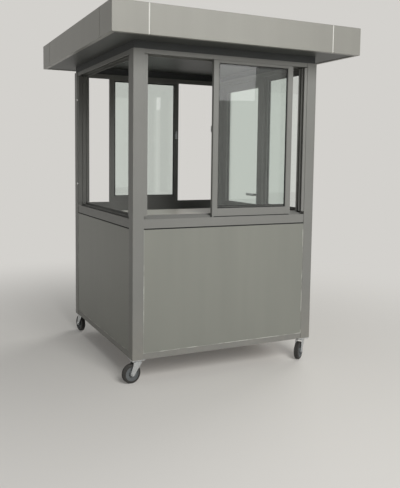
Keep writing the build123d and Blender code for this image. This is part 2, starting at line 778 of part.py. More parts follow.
# Swivel forks and wheels, each turned as it stands in the yard
for corner, (pivot_x, pivot_y) in pivots.items():
    yaw = radians(caster_yaw[corner])
    ahead = Vector(cos(yaw), sin(yaw), 0)
    across = Vector(-sin(yaw), cos(yaw), 0)
    pivot = Vector(pivot_x, pivot_y, 0)
    crown = Plane(origin=(pivot_x, pivot_y, crown_low), x_dir=ahead, z_dir=(0, 0, 1))
    fork_width = fork_inside + 2 * fork_sheet
    with BuildPart() as fork:
        with BuildSketch(Plane(origin=pivot - ahead * fork_back, x_dir=across, z_dir=ahead)) as bent_sheet:
            with Locations((0, crown_top)):
                Rectangle(fork_width, crown_top, align=(Align.CENTER, Align.MAX))
            fillet(bent_sheet.vertices().group_by(Axis.Y)[-1], radius=fork_bend)
            with Locations((0, crown_low)):
                RectangleRounded(
                    fork_inside,
                    2 * crown_low,
                    fork_bend - fork_sheet,
                    align=(Align.CENTER, Align.MAX),
                    mode=Mode.SUBTRACT,
                )
        extrude(amount=fork_back + trail + fork_eye)
        with BuildSketch(Plane(origin=pivot, x_dir=ahead, z_dir=-across)):
            with BuildLine():
                Polyline(
                    (-fork_back, crown_top),
                    (fork_front, crown_top),
                    (trail + fork_eye, wheel_radius + fork_taper),
                    (trail - fork_eye, wheel_radius - fork_taper),
                    (-fork_back, crown_low - fork_sheet),
                    close=True,
                )
            make_face()
            with Locations((trail, wheel_radius)):
                Circle(fork_eye)
        extrude(amount=fork_width, both=True, mode=Mode.INTERSECT)
        with BuildSketch(crown.offset(fork_sheet)):
            Circle(race_radius)
        extrude(amount=cup_height)
        with BuildSketch(crown):
            Circle(king_pin + king_pin_running)
        extrude(amount=fork_sheet + cup_height, mode=Mode.SUBTRACT)
        axle_half = fork_width / 2 + axle_head_height
        with BuildSketch(Plane(origin=pivot - across * axle_half, x_dir=ahead, z_dir=-across)):
            with Locations((trail, wheel_radius)):
                Circle(axle_radius)
        extrude(amount=-2 * axle_half)
        for hand in (-1, 1):
            outside = pivot + across * (hand * fork_width / 2)
            with BuildSketch(Plane(origin=outside, x_dir=ahead, z_dir=-across)):
                with Locations((trail, wheel_radius)):
                    RegularPolygon(axle_head, 6)
            extrude(amount=-hand * axle_head_height)
    write(fork, f"caster_fork_{corner}")

    outline = [
        (axle_radius + axle_running, hub_boss_width / 2),
        (hub_boss_radius, hub_boss_width / 2),
        (hub_boss_radius + hub_draft, web_thickness / 2),
        (rim_radius, web_thickness / 2),
        (rim_radius + rim_draft, wheel_width / 2),
        (wheel_radius - shoulder_depth, wheel_width / 2),
        (wheel_radius, wheel_width / 2 - shoulder_width),
    ]
    outline += [(out, -along) for out, along in reversed(outline)]
    hub = pivot + ahead * trail + Vector(0, 0, wheel_radius)
    with BuildPart() as wheel:
        with BuildSketch(Plane(origin=hub, x_dir=ahead, z_dir=(0, 0, 1))):
            with BuildLine():
                Polyline(*outline, close=True)
            make_face()
        revolve(axis=Axis(hub, across))
    write(wheel, f"caster_wheel_{corner}")
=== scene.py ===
import json
import math

import bpy
from mathutils import Matrix, Vector


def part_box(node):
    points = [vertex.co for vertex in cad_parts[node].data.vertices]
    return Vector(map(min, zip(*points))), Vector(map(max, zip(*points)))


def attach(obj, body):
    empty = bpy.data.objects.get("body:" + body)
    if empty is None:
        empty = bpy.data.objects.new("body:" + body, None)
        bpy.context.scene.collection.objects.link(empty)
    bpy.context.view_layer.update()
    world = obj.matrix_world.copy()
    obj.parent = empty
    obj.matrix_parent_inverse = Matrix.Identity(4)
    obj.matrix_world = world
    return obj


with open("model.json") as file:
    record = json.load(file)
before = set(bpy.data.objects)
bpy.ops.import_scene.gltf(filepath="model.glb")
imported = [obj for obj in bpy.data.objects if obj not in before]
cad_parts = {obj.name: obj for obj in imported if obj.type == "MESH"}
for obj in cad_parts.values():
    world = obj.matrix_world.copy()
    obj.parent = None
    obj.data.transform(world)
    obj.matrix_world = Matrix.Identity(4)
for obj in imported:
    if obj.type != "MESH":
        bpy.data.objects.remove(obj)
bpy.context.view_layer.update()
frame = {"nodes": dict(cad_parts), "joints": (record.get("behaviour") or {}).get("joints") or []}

# Base frame: steel box section with five bearers across it, welded up and painted grey by brush.
# It carries the floor, the posts and the casters. Brushed paint is even but a little duller and darker
# than the powder coat on the posts, and yard dust clings to everything that stands low.


def linear(hex_colour):
    """An sRGB hex colour as linear red, green, blue and alpha."""
    parts = [int(hex_colour[i:i + 2], 16) / 255 for i in (1, 3, 5)]
    return [p / 12.92 if p <= 0.04045 else ((p + 0.055) / 1.055) ** 2.4 for p in parts] + [1.0]


def add_node(tree, kind, inputs=(), **settings):
    """Adds one node with its settings. An input takes a value, or the output that it is linked to."""
    node = tree.nodes.new(kind)
    for name, value in settings.items():
        setattr(node, name, value)
    for name, value in dict(inputs).items():
        if isinstance(value, bpy.types.NodeSocket):
            tree.links.new(value, node.inputs[name])
        else:
            node.inputs[name].default_value = value
    return node


def new_material(name):
    """A new material with its node tree, its shader and the place on the object."""
    material = bpy.data.materials.new(name)
    material.use_nodes = True
    tree = material.node_tree
    place = add_node(tree, "ShaderNodeTexCoord").outputs["Object"]
    return material, tree, tree.nodes["Principled BSDF"], place


def wear(material, *nodes):
    """Gives CAD nodes or new pieces this material."""
    for node in nodes:
        piece = frame["nodes"][node] if isinstance(node, str) else node
        if not piece.material_slots:
            piece.data.materials.append(material)
        piece.material_slots[0].material = material


def coated_metal(name, light, dark, roughness):
    """Paint or powder coat on metal: two close greys in soft clouds, yard dust low down, and orange peel."""
    material, tree, shader, place = new_material(name)
    cloud_mm = 260
    speck_mm = 30
    peel_mm = 4  # real peel is about 1 mm, drawn coarser so that it shows
    peel_height = 0.0004
    dust_foot = 0.15
    dust_top = 0.55
    most_dust = 0.22
    smoother_by = 0.05
    rougher_by = 0.07
    clouds = add_node(tree, "ShaderNodeTexNoise", {"Vector": place, "Scale": 1000 / cloud_mm, "Detail": 3})
    body = add_node(
        tree,
        "ShaderNodeMix",
        {0: clouds.outputs["Fac"], 6: linear(dark), 7: linear(light)},
        data_type="RGBA",
    )
    height = add_node(tree, "ShaderNodeSeparateXYZ", {"Vector": place})
    dust = add_node(
        tree,
        "ShaderNodeMapRange",
        {
            "Value": height.outputs["Z"],
            "From Min": dust_foot,
            "From Max": dust_top,
            "To Min": most_dust,
            "To Max": 0.0,
        },
    )
    specks = add_node(tree, "ShaderNodeTexNoise", {"Vector": place, "Scale": 1000 / speck_mm, "Detail": 6})
    film = add_node(
        tree,
        "ShaderNodeMath",
        {0: dust.outputs["Result"], 1: specks.outputs["Fac"]},
        operation="MULTIPLY",
    )
    dusty = add_node(
        tree,
        "ShaderNodeMix",
        {0: film.outputs["Value"], 6: body.outputs[2], 7: linear("#b5aa98")},
        data_type="RGBA",
    )
    tree.links.new(dusty.outputs[2], shader.inputs["Base Color"])
    sheen = add_node(
        tree,
        "ShaderNodeMapRange",
        {
            "Value": specks.outputs["Fac"],
            "To Min": roughness - smoother_by,
            "To Max": roughness + rougher_by,
        },
    )
    tree.links.new(sheen.outputs["Result"], shader.inputs["Roughness"])
    peel = add_node(tree, "ShaderNodeTexNoise", {"Vector": place, "Scale": 1000 / peel_mm, "Detail": 2})
    bump = add_node(
        tree,
        "ShaderNodeBump",
        {"Height": peel.outputs["Fac"], "Strength": 0.12, "Distance": peel_height},
    )
    tree.links.new(bump.outputs["Normal"], shader.inputs["Normal"])
    return material


steel_paint = coated_metal("brushed_on_steel_paint", "#7c7d7a", "#6f706d", roughness=0.5)
wear(steel_paint, "base_frame")

# Floor: one sheet of sealed plywood on the bearers, notched round the posts.
# Its face veneer is rotary cut, so the grain is broad and runs along the sheet, and the sealer
# gives it a soft shine with faint ridges.
plywood, tree, shader, place = new_material("sealed_plywood")
grain_pitch_mm = 42
wave_unit = math.tau / 20  # one band of a wave texture at a scale of 1
figure_length_mm = 330
figure_width_mm = 37
across = (1.0, figure_length_mm / figure_width_mm, 1.0)
ridge_height = 0.0005
stretched = add_node(tree, "ShaderNodeMapping", {"Vector": place, "Scale": across})
warp = add_node(
    tree,
    "ShaderNodeTexNoise",
    {"Vector": stretched.outputs["Vector"], "Scale": 1000 / figure_length_mm, "Detail": 5},
)
grain = add_node(
    tree,
    "ShaderNodeTexWave",
    {"Vector": place, "Scale": 1000 * wave_unit / grain_pitch_mm, "Distortion": 9.0, "Detail": 4},
    bands_direction="Y",
)
mixed = add_node(
    tree,
    "ShaderNodeMath",
    {0: grain.outputs["Fac"], 1: warp.outputs["Fac"]},
    operation="MULTIPLY",
)
veneer = add_node(
    tree,
    "ShaderNodeMix",
    {0: mixed.outputs["Value"], 6: linear("#8a6d4d"), 7: linear("#b09471")},
    data_type="RGBA",
)
tree.links.new(veneer.outputs[2], shader.inputs["Base Color"])
ridges = add_node(
    tree,
    "ShaderNodeBump",
    {"Height": mixed.outputs["Value"], "Strength": 0.1, "Distance": ridge_height},
)
tree.links.new(ridges.outputs["Normal"], shader.inputs["Normal"])
shader.inputs["Roughness"].default_value = 0.45
wear(plywood, "floor_panel")

# Corner posts: square aluminium tube, extruded, with a mid grey powder coat baked on.
# They stand on the base frame at the four corners and carry the roof ring. Powder coat is even and
# satin, and its fine orange peel softens every highlight.
aluminium_coat = coated_metal("powder_coated_aluminium", "#7d7d79", "#747470", roughness=0.46)
wear(aluminium_coat, "post_front_left", "post_front_right", "post_back_left", "post_back_right")

# Lower wall panels: aluminium composite sheet on both faces of a stud frame, fixed between the posts.
# The sheet is coil coated in a satin grey with fine flake. The coating is laid on in a line, which
# leaves faint bands up the sheet, and large flat sheets buckle a little in the light.


def composite_sheet(name, light, dark, metallic, roughness):
    """Coil-coated sheet: faint bands up the sheet, a fine metallic flake and a slight buckle."""
    material, tree, shader, place = new_material(name)
    band_mm = 120
    band_height_mm = 1000
    upright = (1.0, 1.0, band_mm / band_height_mm)
    flake_mm = 3  # real flake is under 0.1 mm, drawn coarser so that it shows
    buckle_mm = 420
    buckle_height = 0.004
    smoother_by = 0.04
    rougher_by = 0.05
    along = add_node(tree, "ShaderNodeMapping", {"Vector": place, "Scale": upright})
    bands = add_node(
        tree,
        "ShaderNodeTexNoise",
        {"Vector": along.outputs["Vector"], "Scale": 1000 / band_mm, "Detail": 2},
    )
    base = add_node(
        tree,
        "ShaderNodeMix",
        {0: bands.outputs["Fac"], 6: linear(dark), 7: linear(light)},
        data_type="RGBA",
    )
    tree.links.new(base.outputs[2], shader.inputs["Base Color"])
    flake = add_node(tree, "ShaderNodeTexVoronoi", {"Vector": place, "Scale": 1000 / flake_mm})
    sheen = add_node(
        tree,
        "ShaderNodeMapRange",
        {
            "Value": flake.outputs["Distance"],
            "To Min": roughness - smoother_by,
            "To Max": roughness + rougher_by,
        },
    )
    tree.links.new(sheen.outputs["Result"], shader.inputs["Roughness"])
    buckle = add_node(tree, "ShaderNodeTexNoise", {"Vector": place, "Scale": 1000 / buckle_mm, "Detail": 0})
    bump = add_node(
        tree,
        "ShaderNodeBump",
        {"Height": buckle.outputs["Fac"], "Strength": 0.25, "Distance": buckle_height},
    )
    tree.links.new(bump.outputs["Normal"], shader.inputs["Normal"])
    shader.inputs["Metallic"].default_value = metallic
    return material


wall_sheet = composite_sheet("coil_coated_wall_sheet", "#85867e", "#7d7e77", metallic=0.06, roughness=0.4)
wear(wall_sheet, "panel_front", "panel_left", "panel_back", "panel_right")

# Beads round the lower panels: the sheet's raw aluminium edge with a thin run of clear sealant. They show as
# fine, patchy light lines along the foot of each panel and up its sides, and their pale patches are partly
# painted highlight along the edges. The seam under the window sill holds a black strip, set deep, which is
# painted shade: it draws the dark line of the shadow under the sill's lip.


def block(name, low, high):
    """A rectangular solid between two corners, with its place in its mesh."""
    size = [b - a for a, b in zip(low, high)]
    middle = [(a + b) / 2 for a, b in zip(low, high)]
    bpy.ops.object.select_all(action="DESELECT")
    bpy.ops.mesh.primitive_cube_add(size=1, location=middle, scale=size)
    piece = bpy.context.object
    piece.name = name
    bpy.ops.object.transform_apply(location=True, rotation=True, scale=True)
    return piece


def bevel_all(piece, width):
    """Rounds every sharp edge of a piece and shades it smooth up to a fold of 40 degrees."""
    bevel = piece.modifiers.new("edges", "BEVEL")
    bevel.width = width
    bevel.segments = 2
    bpy.ops.object.select_all(action="DESELECT")
    piece.select_set(True)
    bpy.context.view_layer.objects.active = piece
    bpy.ops.object.modifier_apply(modifier=bevel.name)
    bpy.ops.object.shade_smooth_by_angle(angle=math.radians(40))
    return piece


def join(name, pieces):
    """Joins pieces into one mesh that keeps its place."""
    bpy.ops.object.select_all(action="DESELECT")
    for piece in pieces:
        piece.select_set(True)
    bpy.context.view_layer.objects.active = pieces[0]
    bpy.ops.object.join()
    pieces[0].name = name
    return pieces[0]


def outward(side):
    """The axis (0 or 1) and the sign of a wall's outward direction."""
    return {"front": (1, -1), "back": (1, 1), "left": (0, -1), "right": (0, 1)}[side]


def on_wall(name, side, along, depth, height, width, thickness, tall):
    """A block on a wall, its middle at along and height, its outer face at depth from the booth's centre."""
    axis, sign = outward(side)
    other = 1 - axis
    low, high = [0, 0, 0], [0, 0, 0]
    low[other], high[other] = along - width / 2, along + width / 2
    low[axis], high[axis] = sorted((sign * depth, sign * (depth - thickness)))
    low[2], high[2] = height - tall / 2, height + tall / 2
    return block(name, low, high)


# Edge bead: silvery in patches that are partly bare edge and partly painted highlight, grey where the sealant
# is thick.
edge_bead_highlight, tree, shader, place = new_material("pale_edge_bead_with_painted_highlight")
patch_mm = 90
patches = add_node(tree, "ShaderNodeTexNoise", {"Vector": place, "Scale": 1000 / patch_mm, "Detail": 4})
bare_and_highlit = add_node(
    tree,
    "ShaderNodeMapRange",
    {"Value": patches.outputs["Fac"], "From Min": 0.44, "From Max": 0.64},
    interpolation_type="SMOOTHSTEP",
)
tone = add_node(
    tree,
    "ShaderNodeMix",
    {0: bare_and_highlit.outputs["Result"], 6: linear("#8d8e87"), 7: linear("#bcbcb4")},
    data_type="RGBA",
)
tree.links.new(tone.outputs[2], shader.inputs["Base Color"])
shader.inputs["Roughness"].default_value = 0.4

# Black strip, painted shade for the seam under the sill: near black with faint pores, and dull.
seam_shade, tree, shader, place = new_material("black_strip_painted_seam_shade")
pore_mm = 5  # real pores are about 1 mm, drawn coarser so that they show
pores = add_node(tree, "ShaderNodeTexNoise", {"Vector": place, "Scale": 1000 / pore_mm, "Detail": 3})
tone = add_node(
    tree,
    "ShaderNodeMix",
    {0: pores.outputs["Fac"], 6: linear("#191a1a"), 7: linear("#262727")},
    data_type="RGBA",
)
tree.links.new(tone.outputs[2], shader.inputs["Base Color"])
shader.inputs["Roughness"].default_value = 0.85

bead_width = 0.004
bead_proud = 0.0012
bead_deep = 0.002
bead_round = 0.0008
seam = 0.008
seam_deep = 0.006
strip_thick = 0.0025
strip_play = 0.0002
strip_round = 0.0006
for side in ("front", "left", "back", "right"):
    axis = outward(side)[0]
    low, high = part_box(f"panel_{side}")
    panel_face = max(abs(low[axis]), abs(high[axis]))
    start, end = low[1 - axis], high[1 - axis]
    foot, top = low[2], high[2]
    middle = (start + end) / 2
    bead_face = panel_face + bead_proud
    bead_thick = bead_proud + bead_deep
    upright_middle = (foot + top - seam) / 2
    upright_tall = top - seam - foot - bead_width
    runs = [on_wall("run", side, middle, bead_face, foot, end - start, bead_thick, bead_width)]
    for edge in (start + bead_width / 2, end - bead_width / 2):
        run = on_wall("run", side, edge, bead_face, upright_middle, bead_width, bead_thick, upright_tall)
        runs.append(run)
    for run in runs:
        bevel_all(run, bead_round)
    bead = join(f"panel_beads_{side}", runs)
    wear(edge_bead_highlight, bead)
    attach(bead, "booth")
    strip = on_wall(
        f"seam_strip_{side}",
        side,
        middle,
        panel_face - seam_deep + strip_thick,
        top - seam / 2,
        end - start - 2 * strip_play,
        strip_thick - strip_play,
        seam - 2 * strip_play,
    )
    bevel_all(strip, strip_round)
    wear(seam_shade, strip)
    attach(strip, "booth")

# Window frames and right wall: aluminium sections with the posts' powder coat, screwed up between them.
# Each window frame has a stepped sill, a head channel and pocketed jambs. The right wall has the
# frame of its fixed light, the door post and the head over the door.
wear(aluminium_coat, "window_frame_front", "window_frame_left", "window_frame_back")
wear(aluminium_coat, "light_frame_right", "door_post", "right_head")

# Roof ring and soffit: steel members on the posts, and the coated sheet that closes the roof below and is
# screwed to them. Both are a flat dark grey that is partly painted shade, standing for the shade under
# the overhang, where they take little light.
overhang_shade_paint = coated_metal("dark_grey_and_painted_overhang_shade", "#4a4c4c", "#404242", roughness=0.6)
wear(overhang_shade_paint, "roof_ring")
soffit_shade_sheet = composite_sheet("dark_soffit_sheet_with_painted_shade", "#565855", "#4c4e4b", metallic=0.1, roughness=0.5)
wear(soffit_shade_sheet, "soffit_ceiling")

# Fascia: deep trays folded from composite sheet like the walls', with a piece folded round each corner.
# The coating shines a little more than that of the walls, and its grey is a little lighter than theirs as a
# painted sheen. Pale sealant fills the joints between the trays and the corner pieces, a millimetre below
# the face, and runs on over both folds.
fascia_sheet_and_sheen = composite_sheet("coil_coated_fascia_sheet_with_painted_sheen", "#908f88", "#878680", metallic=0.2, roughness=0.36)
wear(fascia_sheet_and_sheen, "fascia_front", "fascia_right", "fascia_back", "fascia_left", "fascia_corners")

# Silicone, smoothed by finger: pale, with faint smears in a soft shine.
sealant, tree, shader, place = new_material("pale_silicone_sealant")
smear_mm = 16
smear = add_node(tree, "ShaderNodeTexNoise", {"Vector": place, "Scale": 1000 / smear_mm, "Detail": 4})
tone = add_node(
    tree,
    "ShaderNodeMix",
    {0: smear.outputs["Fac"], 6: linear("#b9b8b2"), 7: linear("#d2d1cb")},
    data_type="RGBA",
)
tree.links.new(tone.outputs[2], shader.inputs["Base Color"])
shader.inputs["Roughness"].default_value = 0.45

sheet = 0.004
top_fold = 0.040
bottom_fold = 0.026
corner_leg = 0.222
joint_play = 0.0005
joint_sink = 0.001
joint_round = 0.001
tray_low, tray_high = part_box("fascia_front")
fascia_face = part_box("fascia_corners")[1][0]
joint_start = tray_high[0]
joint_end = fascia_face - corner_leg
joint_middle = (joint_start + joint_end) / 2
joint_width = joint_end - joint_start - 2 * joint_play
joint_face = fascia_face - joint_sink
joint_tall = tray_high[2] - tray_low[2] - 2 * joint_sink
fold_fill = sheet - joint_sink
upright = (tray_low[2] + tray_high[2]) / 2
over_top = tray_high[2] - joint_sink - fold_fill / 2
under_bottom = tray_low[2] + joint_sink + fold_fill / 2
fills = (
    (upright, sheet, joint_tall),
    (over_top, top_fold, fold_fill),
    (under_bottom, bottom_fold, fold_fill),
)
joints = []
for side in ("front", "right", "back", "left"):
    for along in (-joint_middle, joint_middle):
        for height, deep, tall in fills:
            joints.append(on_wall("joint", side, along, joint_face, height, joint_width, deep, tall))
for joint in joints:
    bevel_all(joint, joint_round)
fascia_sealant = join("fascia_sealant", joints)
wear(sealant, fascia_sealant)
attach(fascia_sealant, "booth")

# Roof deck: coated sheet laid flat inside the trays in two widths, with sealant drawn over their joint.
# It faces the sky, so its coating has dulled, and each puddle that dried has left a ring of dust.
weathered, tree, shader, place = new_material("weathered_coated_roof_sheet")
puddle_mm = 340
grime_mm = 45
puddles = add_node(tree, "ShaderNodeTexNoise", {"Vector": place, "Scale": 1000 / puddle_mm, "Detail": 3})
shore = add_node(
    tree,
    "ShaderNodeMapRange",
    {"Value": puddles.outputs["Fac"], "From Min": 0.46, "From Max": 0.6, "To Min": 0.1, "To Max": 0.55},
    interpolation_type="SMOOTHSTEP",
)
grime = add_node(tree, "ShaderNodeTexNoise", {"Vector": place, "Scale": 1000 / grime_mm, "Detail": 6})
dust = add_node(
    tree,
    "ShaderNodeMath",
    {0: shore.outputs["Result"], 1: grime.outputs["Fac"]},
    operation="MULTIPLY",
)
tone = add_node(
    tree,
    "ShaderNodeMix",
    {0: dust.outputs["Value"], 6: linear("#7b7b75"), 7: linear("#b3ab9c")},
    data_type="RGBA",
)
tree.links.new(tone.outputs[2], shader.inputs["Base Color"])
shader.inputs["Roughness"].default_value = 0.62
wear(weathered, "roof_deck")

deck_strip_inset = 0.045
deck_strip_thick = 0.0012
deck_strip_width = 0.03
deck_strip_round = 0.0005
low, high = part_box("roof_deck")
deck_strip = block(
    "deck_joint_strip",
    (-deck_strip_width / 2, low[1] + deck_strip_inset, high[2]),
    (deck_strip_width / 2, high[1] - deck_strip_inset, high[2] + deck_strip_thick),
)
bevel_all(deck_strip, deck_strip_round)
wear(sealant, deck_strip)
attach(deck_strip, "booth")

# Sashes: sliding aluminium frames with the posts' powder coat, butted and screwed at their corners.
# Each stands on a rail of the sill and runs in the head channel. A crescent lock with its keeper,
# screwed on, holds the two meeting stiles together.
wear(aluminium_coat, "sash_front_outer", "sash_front_inner", "sash_back_outer", "sash_back_inner")

# Aluminium, brushed across and anodised: fine level lines in a satin shine.
anodised, tree, shader, place = new_material("satin_anodised_aluminium")
line_length_mm = 11
line_pitch_mm = 0.8  # real lines are about 0.1 mm apart, drawn coarser so that they show
level = (1.0, 1.0, line_length_mm / line_pitch_mm)
brush = add_node(tree, "ShaderNodeMapping", {"Vector": place, "Scale": level})
lines = add_node(
    tree,
    "ShaderNodeTexNoise",
    {"Vector": brush.outputs["Vector"], "Scale": 1000 / line_length_mm, "Detail": 2},
)
tone = add_node(
    tree,
    "ShaderNodeMix",
    {0: lines.outputs["Fac"], 6: linear("#a7a9aa"), 7: linear("#bdbfc0")},
    data_type="RGBA",
)
tree.links.new(tone.outputs[2], shader.inputs["Base Color"])
shader.inputs["Metallic"].default_value = 1.0
shader.inputs["Roughness"].default_value = 0.32
wear(anodised, "sash_locks")

# Glass: 5 mm clear float glass in every sash, in the fixed light and in the door.
# It is let into a groove round each frame. Float glass has a faint green body, a hard gloss and a
# thin film of yard dust.
glass, tree, shader, place = new_material("clear_float_glass")
film_mm = 140
most_haze = 0.012
film = add_node(tree, "ShaderNodeTexNoise", {"Vector": place, "Scale": 1000 / film_mm, "Detail": 6})
haze = add_node(
    tree,
    "ShaderNodeMapRange",
    {"Value": film.outputs["Fac"], "To Min": 0.0, "To Max": most_haze},
)
tree.links.new(haze.outputs["Result"], shader.inputs["Roughness"])
shader.inputs["Base Color"].default_value = linear("#f4f8f6")
shader.inputs["Transmission Weight"].default_value = 1.0
shader.inputs["IOR"].default_value = 1.5
wear(glass, "glass_front", "glass_back", "glass_right", "door_glass")

# Glazing gaskets: black rubber wedges pushed in round each pane, inside and outside.
# They hold the glass and keep the rain out of its groove, and draw a thin dark line round the pane.
# Rubber that has been outdoors is dull, with a faint grey bloom.
gasket_width = 0.004
gasket_thick = 0.003
gasket_play = 0.0002
gasket_round = 0.0006


def pick_faces(piece, axis, both_ways=False):
    """Opens a piece for editing with only the faces picked that look up an axis, or up and down it."""
    straight = 0.9
    bpy.ops.object.mode_set(mode="EDIT")
    bpy.ops.mesh.select_mode(type="FACE")
    bpy.ops.mesh.select_all(action="DESELECT")
    bpy.ops.object.mode_set(mode="OBJECT")
    for face in piece.data.polygons:
        look = abs(face.normal[axis]) if both_ways else face.normal[axis]
        face.select = look > straight
    bpy.ops.object.mode_set(mode="EDIT")


def rubber_ring(side, span, foot, head, outer_face):
    """A rectangular rubber frame on a wall: a block whose two large faces are inset and bridged."""
    middle = (span[0] + span[1]) / 2
    width = span[1] - span[0]
    ring = on_wall("ring", side, middle, outer_face, (foot + head) / 2, width, gasket_thick, head - foot)
    pick_faces(ring, outward(side)[0], both_ways=True)
    bpy.ops.mesh.inset(thickness=gasket_width, depth=0)
    bpy.ops.mesh.bridge_edge_loops()
    bpy.ops.object.mode_set(mode="OBJECT")
    return bevel_all(ring, gasket_round)


rubber, tree, shader, place = new_material("black_glazing_rubber")
chalk_mm = 22
chalk = add_node(tree, "ShaderNodeTexNoise", {"Vector": place, "Scale": 1000 / chalk_mm, "Detail": 4})
tone = add_node(
    tree,
    "ShaderNodeMix",
    {0: chalk.outputs["Fac"], 6: linear("#1d1e1e"), 7: linear("#2c2d2d")},
    data_type="RGBA",
)
tree.links.new(tone.outputs[2], shader.inputs["Base Color"])
shader.inputs["Roughness"].default_value = 0.65

glass_half = 0.0025
pane_bite = 0.008
sash_stile = 0.040
sash_bottom_rail = 0.062
light_stile = 0.034
door_stile = 0.060


def pane_gaskets(name, side, frame_node, stile, foot, head, body):
    """The two rubber frames of one pane, one on each face of the glass."""
    axis = outward(side)[0]
    low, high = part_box(frame_node)
    middle = abs(low[axis] + high[axis]) / 2
    span = (low[1 - axis] + stile, high[1 - axis] - stile)
    outer_face = middle + glass_half + gasket_play + gasket_thick
    inner_face = middle - glass_half - gasket_play
    rings = [rubber_ring(side, span, foot, head, face) for face in (outer_face, inner_face)]
    gasket = join(name, rings)
    wear(rubber, gasket)
    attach(gasket, body)


for name in ("front_outer", "front_inner", "back_outer", "back_inner"):
    low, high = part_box(f"sash_{name}")
    foot = low[2] + sash_bottom_rail
    head = high[2] - sash_stile
    pane_gaskets(f"gasket_{name}", name.split("_")[0], f"sash_{name}", sash_stile, foot, head, "booth")
for name, pane, frame_node, stile, body in (
    ("gasket_right_light", "glass_right", "light_frame_right", light_stile, "booth"),
    ("gasket_door", "door_glass", "door_leaf", door_stile, "door"),
):
    low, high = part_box(pane)
    pane_gaskets(name, "right", frame_node, stile, low[2] + pane_bite, high[2] - pane_bite, body)

# Weather strips: black woven pile carried in a groove along the foot of each sliding sash.
# The pile closes the gap to the sill's lip and stands a few millimetres over it. Its tufts are matt and take
# no highlight, and their black is partly painted shade that draws the dark line of the shadow gap under the
# sash.
# It ends short of the jambs' pockets.
pile_and_shade, tree, shader, place = new_material("black_pile_and_painted_shade")
tuft_mm = 2  # real tufts are under 1 mm wide, drawn coarser so that they show
tuft_height_mm = 6
upright_tufts = (1.0, 1.0, tuft_mm / tuft_height_mm)
nap_height = 0.0006
drawn_up = add_node(tree, "ShaderNodeMapping", {"Vector": place, "Scale": upright_tufts})
tufts = add_node(
    tree,
    "ShaderNodeTexNoise",
    {"Vector": drawn_up.outputs["Vector"], "Scale": 1000 / tuft_mm, "Detail": 3},
)
tone = add_node(
    tree,
    "ShaderNodeMix",
    {0: tufts.outputs["Fac"], 6: linear("#1b1c1c"), 7: linear("#343535")},
    data_type="RGBA",
)
tree.links.new(tone.outputs[2], shader.inputs["Base Color"])
nap = add_node(
    tree,
    "ShaderNodeBump",
    {"Height": tufts.outputs["Fac"], "Strength": 0.5, "Distance": nap_height},
)
tree.links.new(nap.outputs["Normal"], shader.inputs["Normal"])
shader.inputs["Roughness"].default_value = 0.95

pile_play = 0.0002
pile_end_gap = 0.011
pile_foot = 0.001
pile_over_lip = 0.0045
pile_round = 0.0008
lip_over_sash_foot = 0.006
lip_gaps = {"outer": 0.004, "inner": 0.0025}
for name in ("front_outer", "front_inner", "back_outer", "back_inner"):
    side, track = name.split("_")
    axis = outward(side)[0]
    low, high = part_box(f"sash_{name}")
    sash_face = max(abs(low[axis]), abs(high[axis]))
    foot = low[2] + pile_foot
    top = low[2] + lip_over_sash_foot + pile_over_lip
    strip = on_wall(
        f"weather_strip_{name}",
        side,
        (low[0] + high[0]) / 2,
        sash_face + lip_gaps[track] - pile_play,
        (foot + top) / 2,
        high[0] - low[0] - 2 * pile_end_gap,
        lip_gaps[track] - 2 * pile_play,
        top - foot,
    )
    bevel_all(strip, pile_round)
    wear(pile_and_shade, strip)
    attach(strip, "booth")

# Desk: a board faced with pale grey laminate, on two painted steel gussets fixed to the front wall.
# Laminate is pressed paper under a hard clear resin: even, faintly flecked, with a low sheen.
laminate, tree, shader, place = new_material("pale_grey_laminate")
fleck_mm = 6  # real flecks are about 1 mm, drawn coarser so that they show
flecks = add_node(tree, "ShaderNodeTexNoise", {"Vector": place, "Scale": 1000 / fleck_mm, "Detail": 3})
tone = add_node(
    tree,
    "ShaderNodeMix",
    {0: flecks.outputs["Fac"], 6: linear("#a5a297"), 7: linear("#b7b4a9")},
    data_type="RGBA",
)
tree.links.new(tone.outputs[2], shader.inputs["Base Color"])
shader.inputs["Roughness"].default_value = 0.35
wear(laminate, "desk_top")
wear(steel_paint, "desk_brackets")

# Door: a leaf of the same aluminium sections round a composite panel and a pane of glass.
# It hangs at the back on three zinc-plated knuckle hinges, and has an anodised lever on a plate with
# a lock cylinder on each face.
wear(aluminium_coat, "door_leaf")
wear(wall_sheet, "door_panel")
wear(anodised, "door_handle")

# Zinc plate: bright and slightly blue, with a faint spangle that breaks up its shine.
zinc, tree, shader, place = new_material("bright_zinc_plate")
spangle_mm = 9
smoothest = 0.28
roughest = 0.46
spangle = add_node(tree, "ShaderNodeTexVoronoi", {"Vector": place, "Scale": 1000 / spangle_mm})
tone = add_node(
    tree,
    "ShaderNodeMix",
    {0: spangle.outputs["Distance"], 6: linear("#d6d8d8"), 7: linear("#bbbec0")},
    data_type="RGBA",
)
tree.links.new(tone.outputs[2], shader.inputs["Base Color"])
sheen = add_node(
    tree,
    "ShaderNodeMapRange",
    {"Value": spangle.outputs["Distance"], "To Min": smoothest, "To Max": roughest},
)
tree.links.new(sheen.outputs["Result"], shader.inputs["Roughness"])
shader.inputs["Metallic"].default_value = 0.75
wear(zinc, "door_hinge_posts", "door_hinge_flaps")

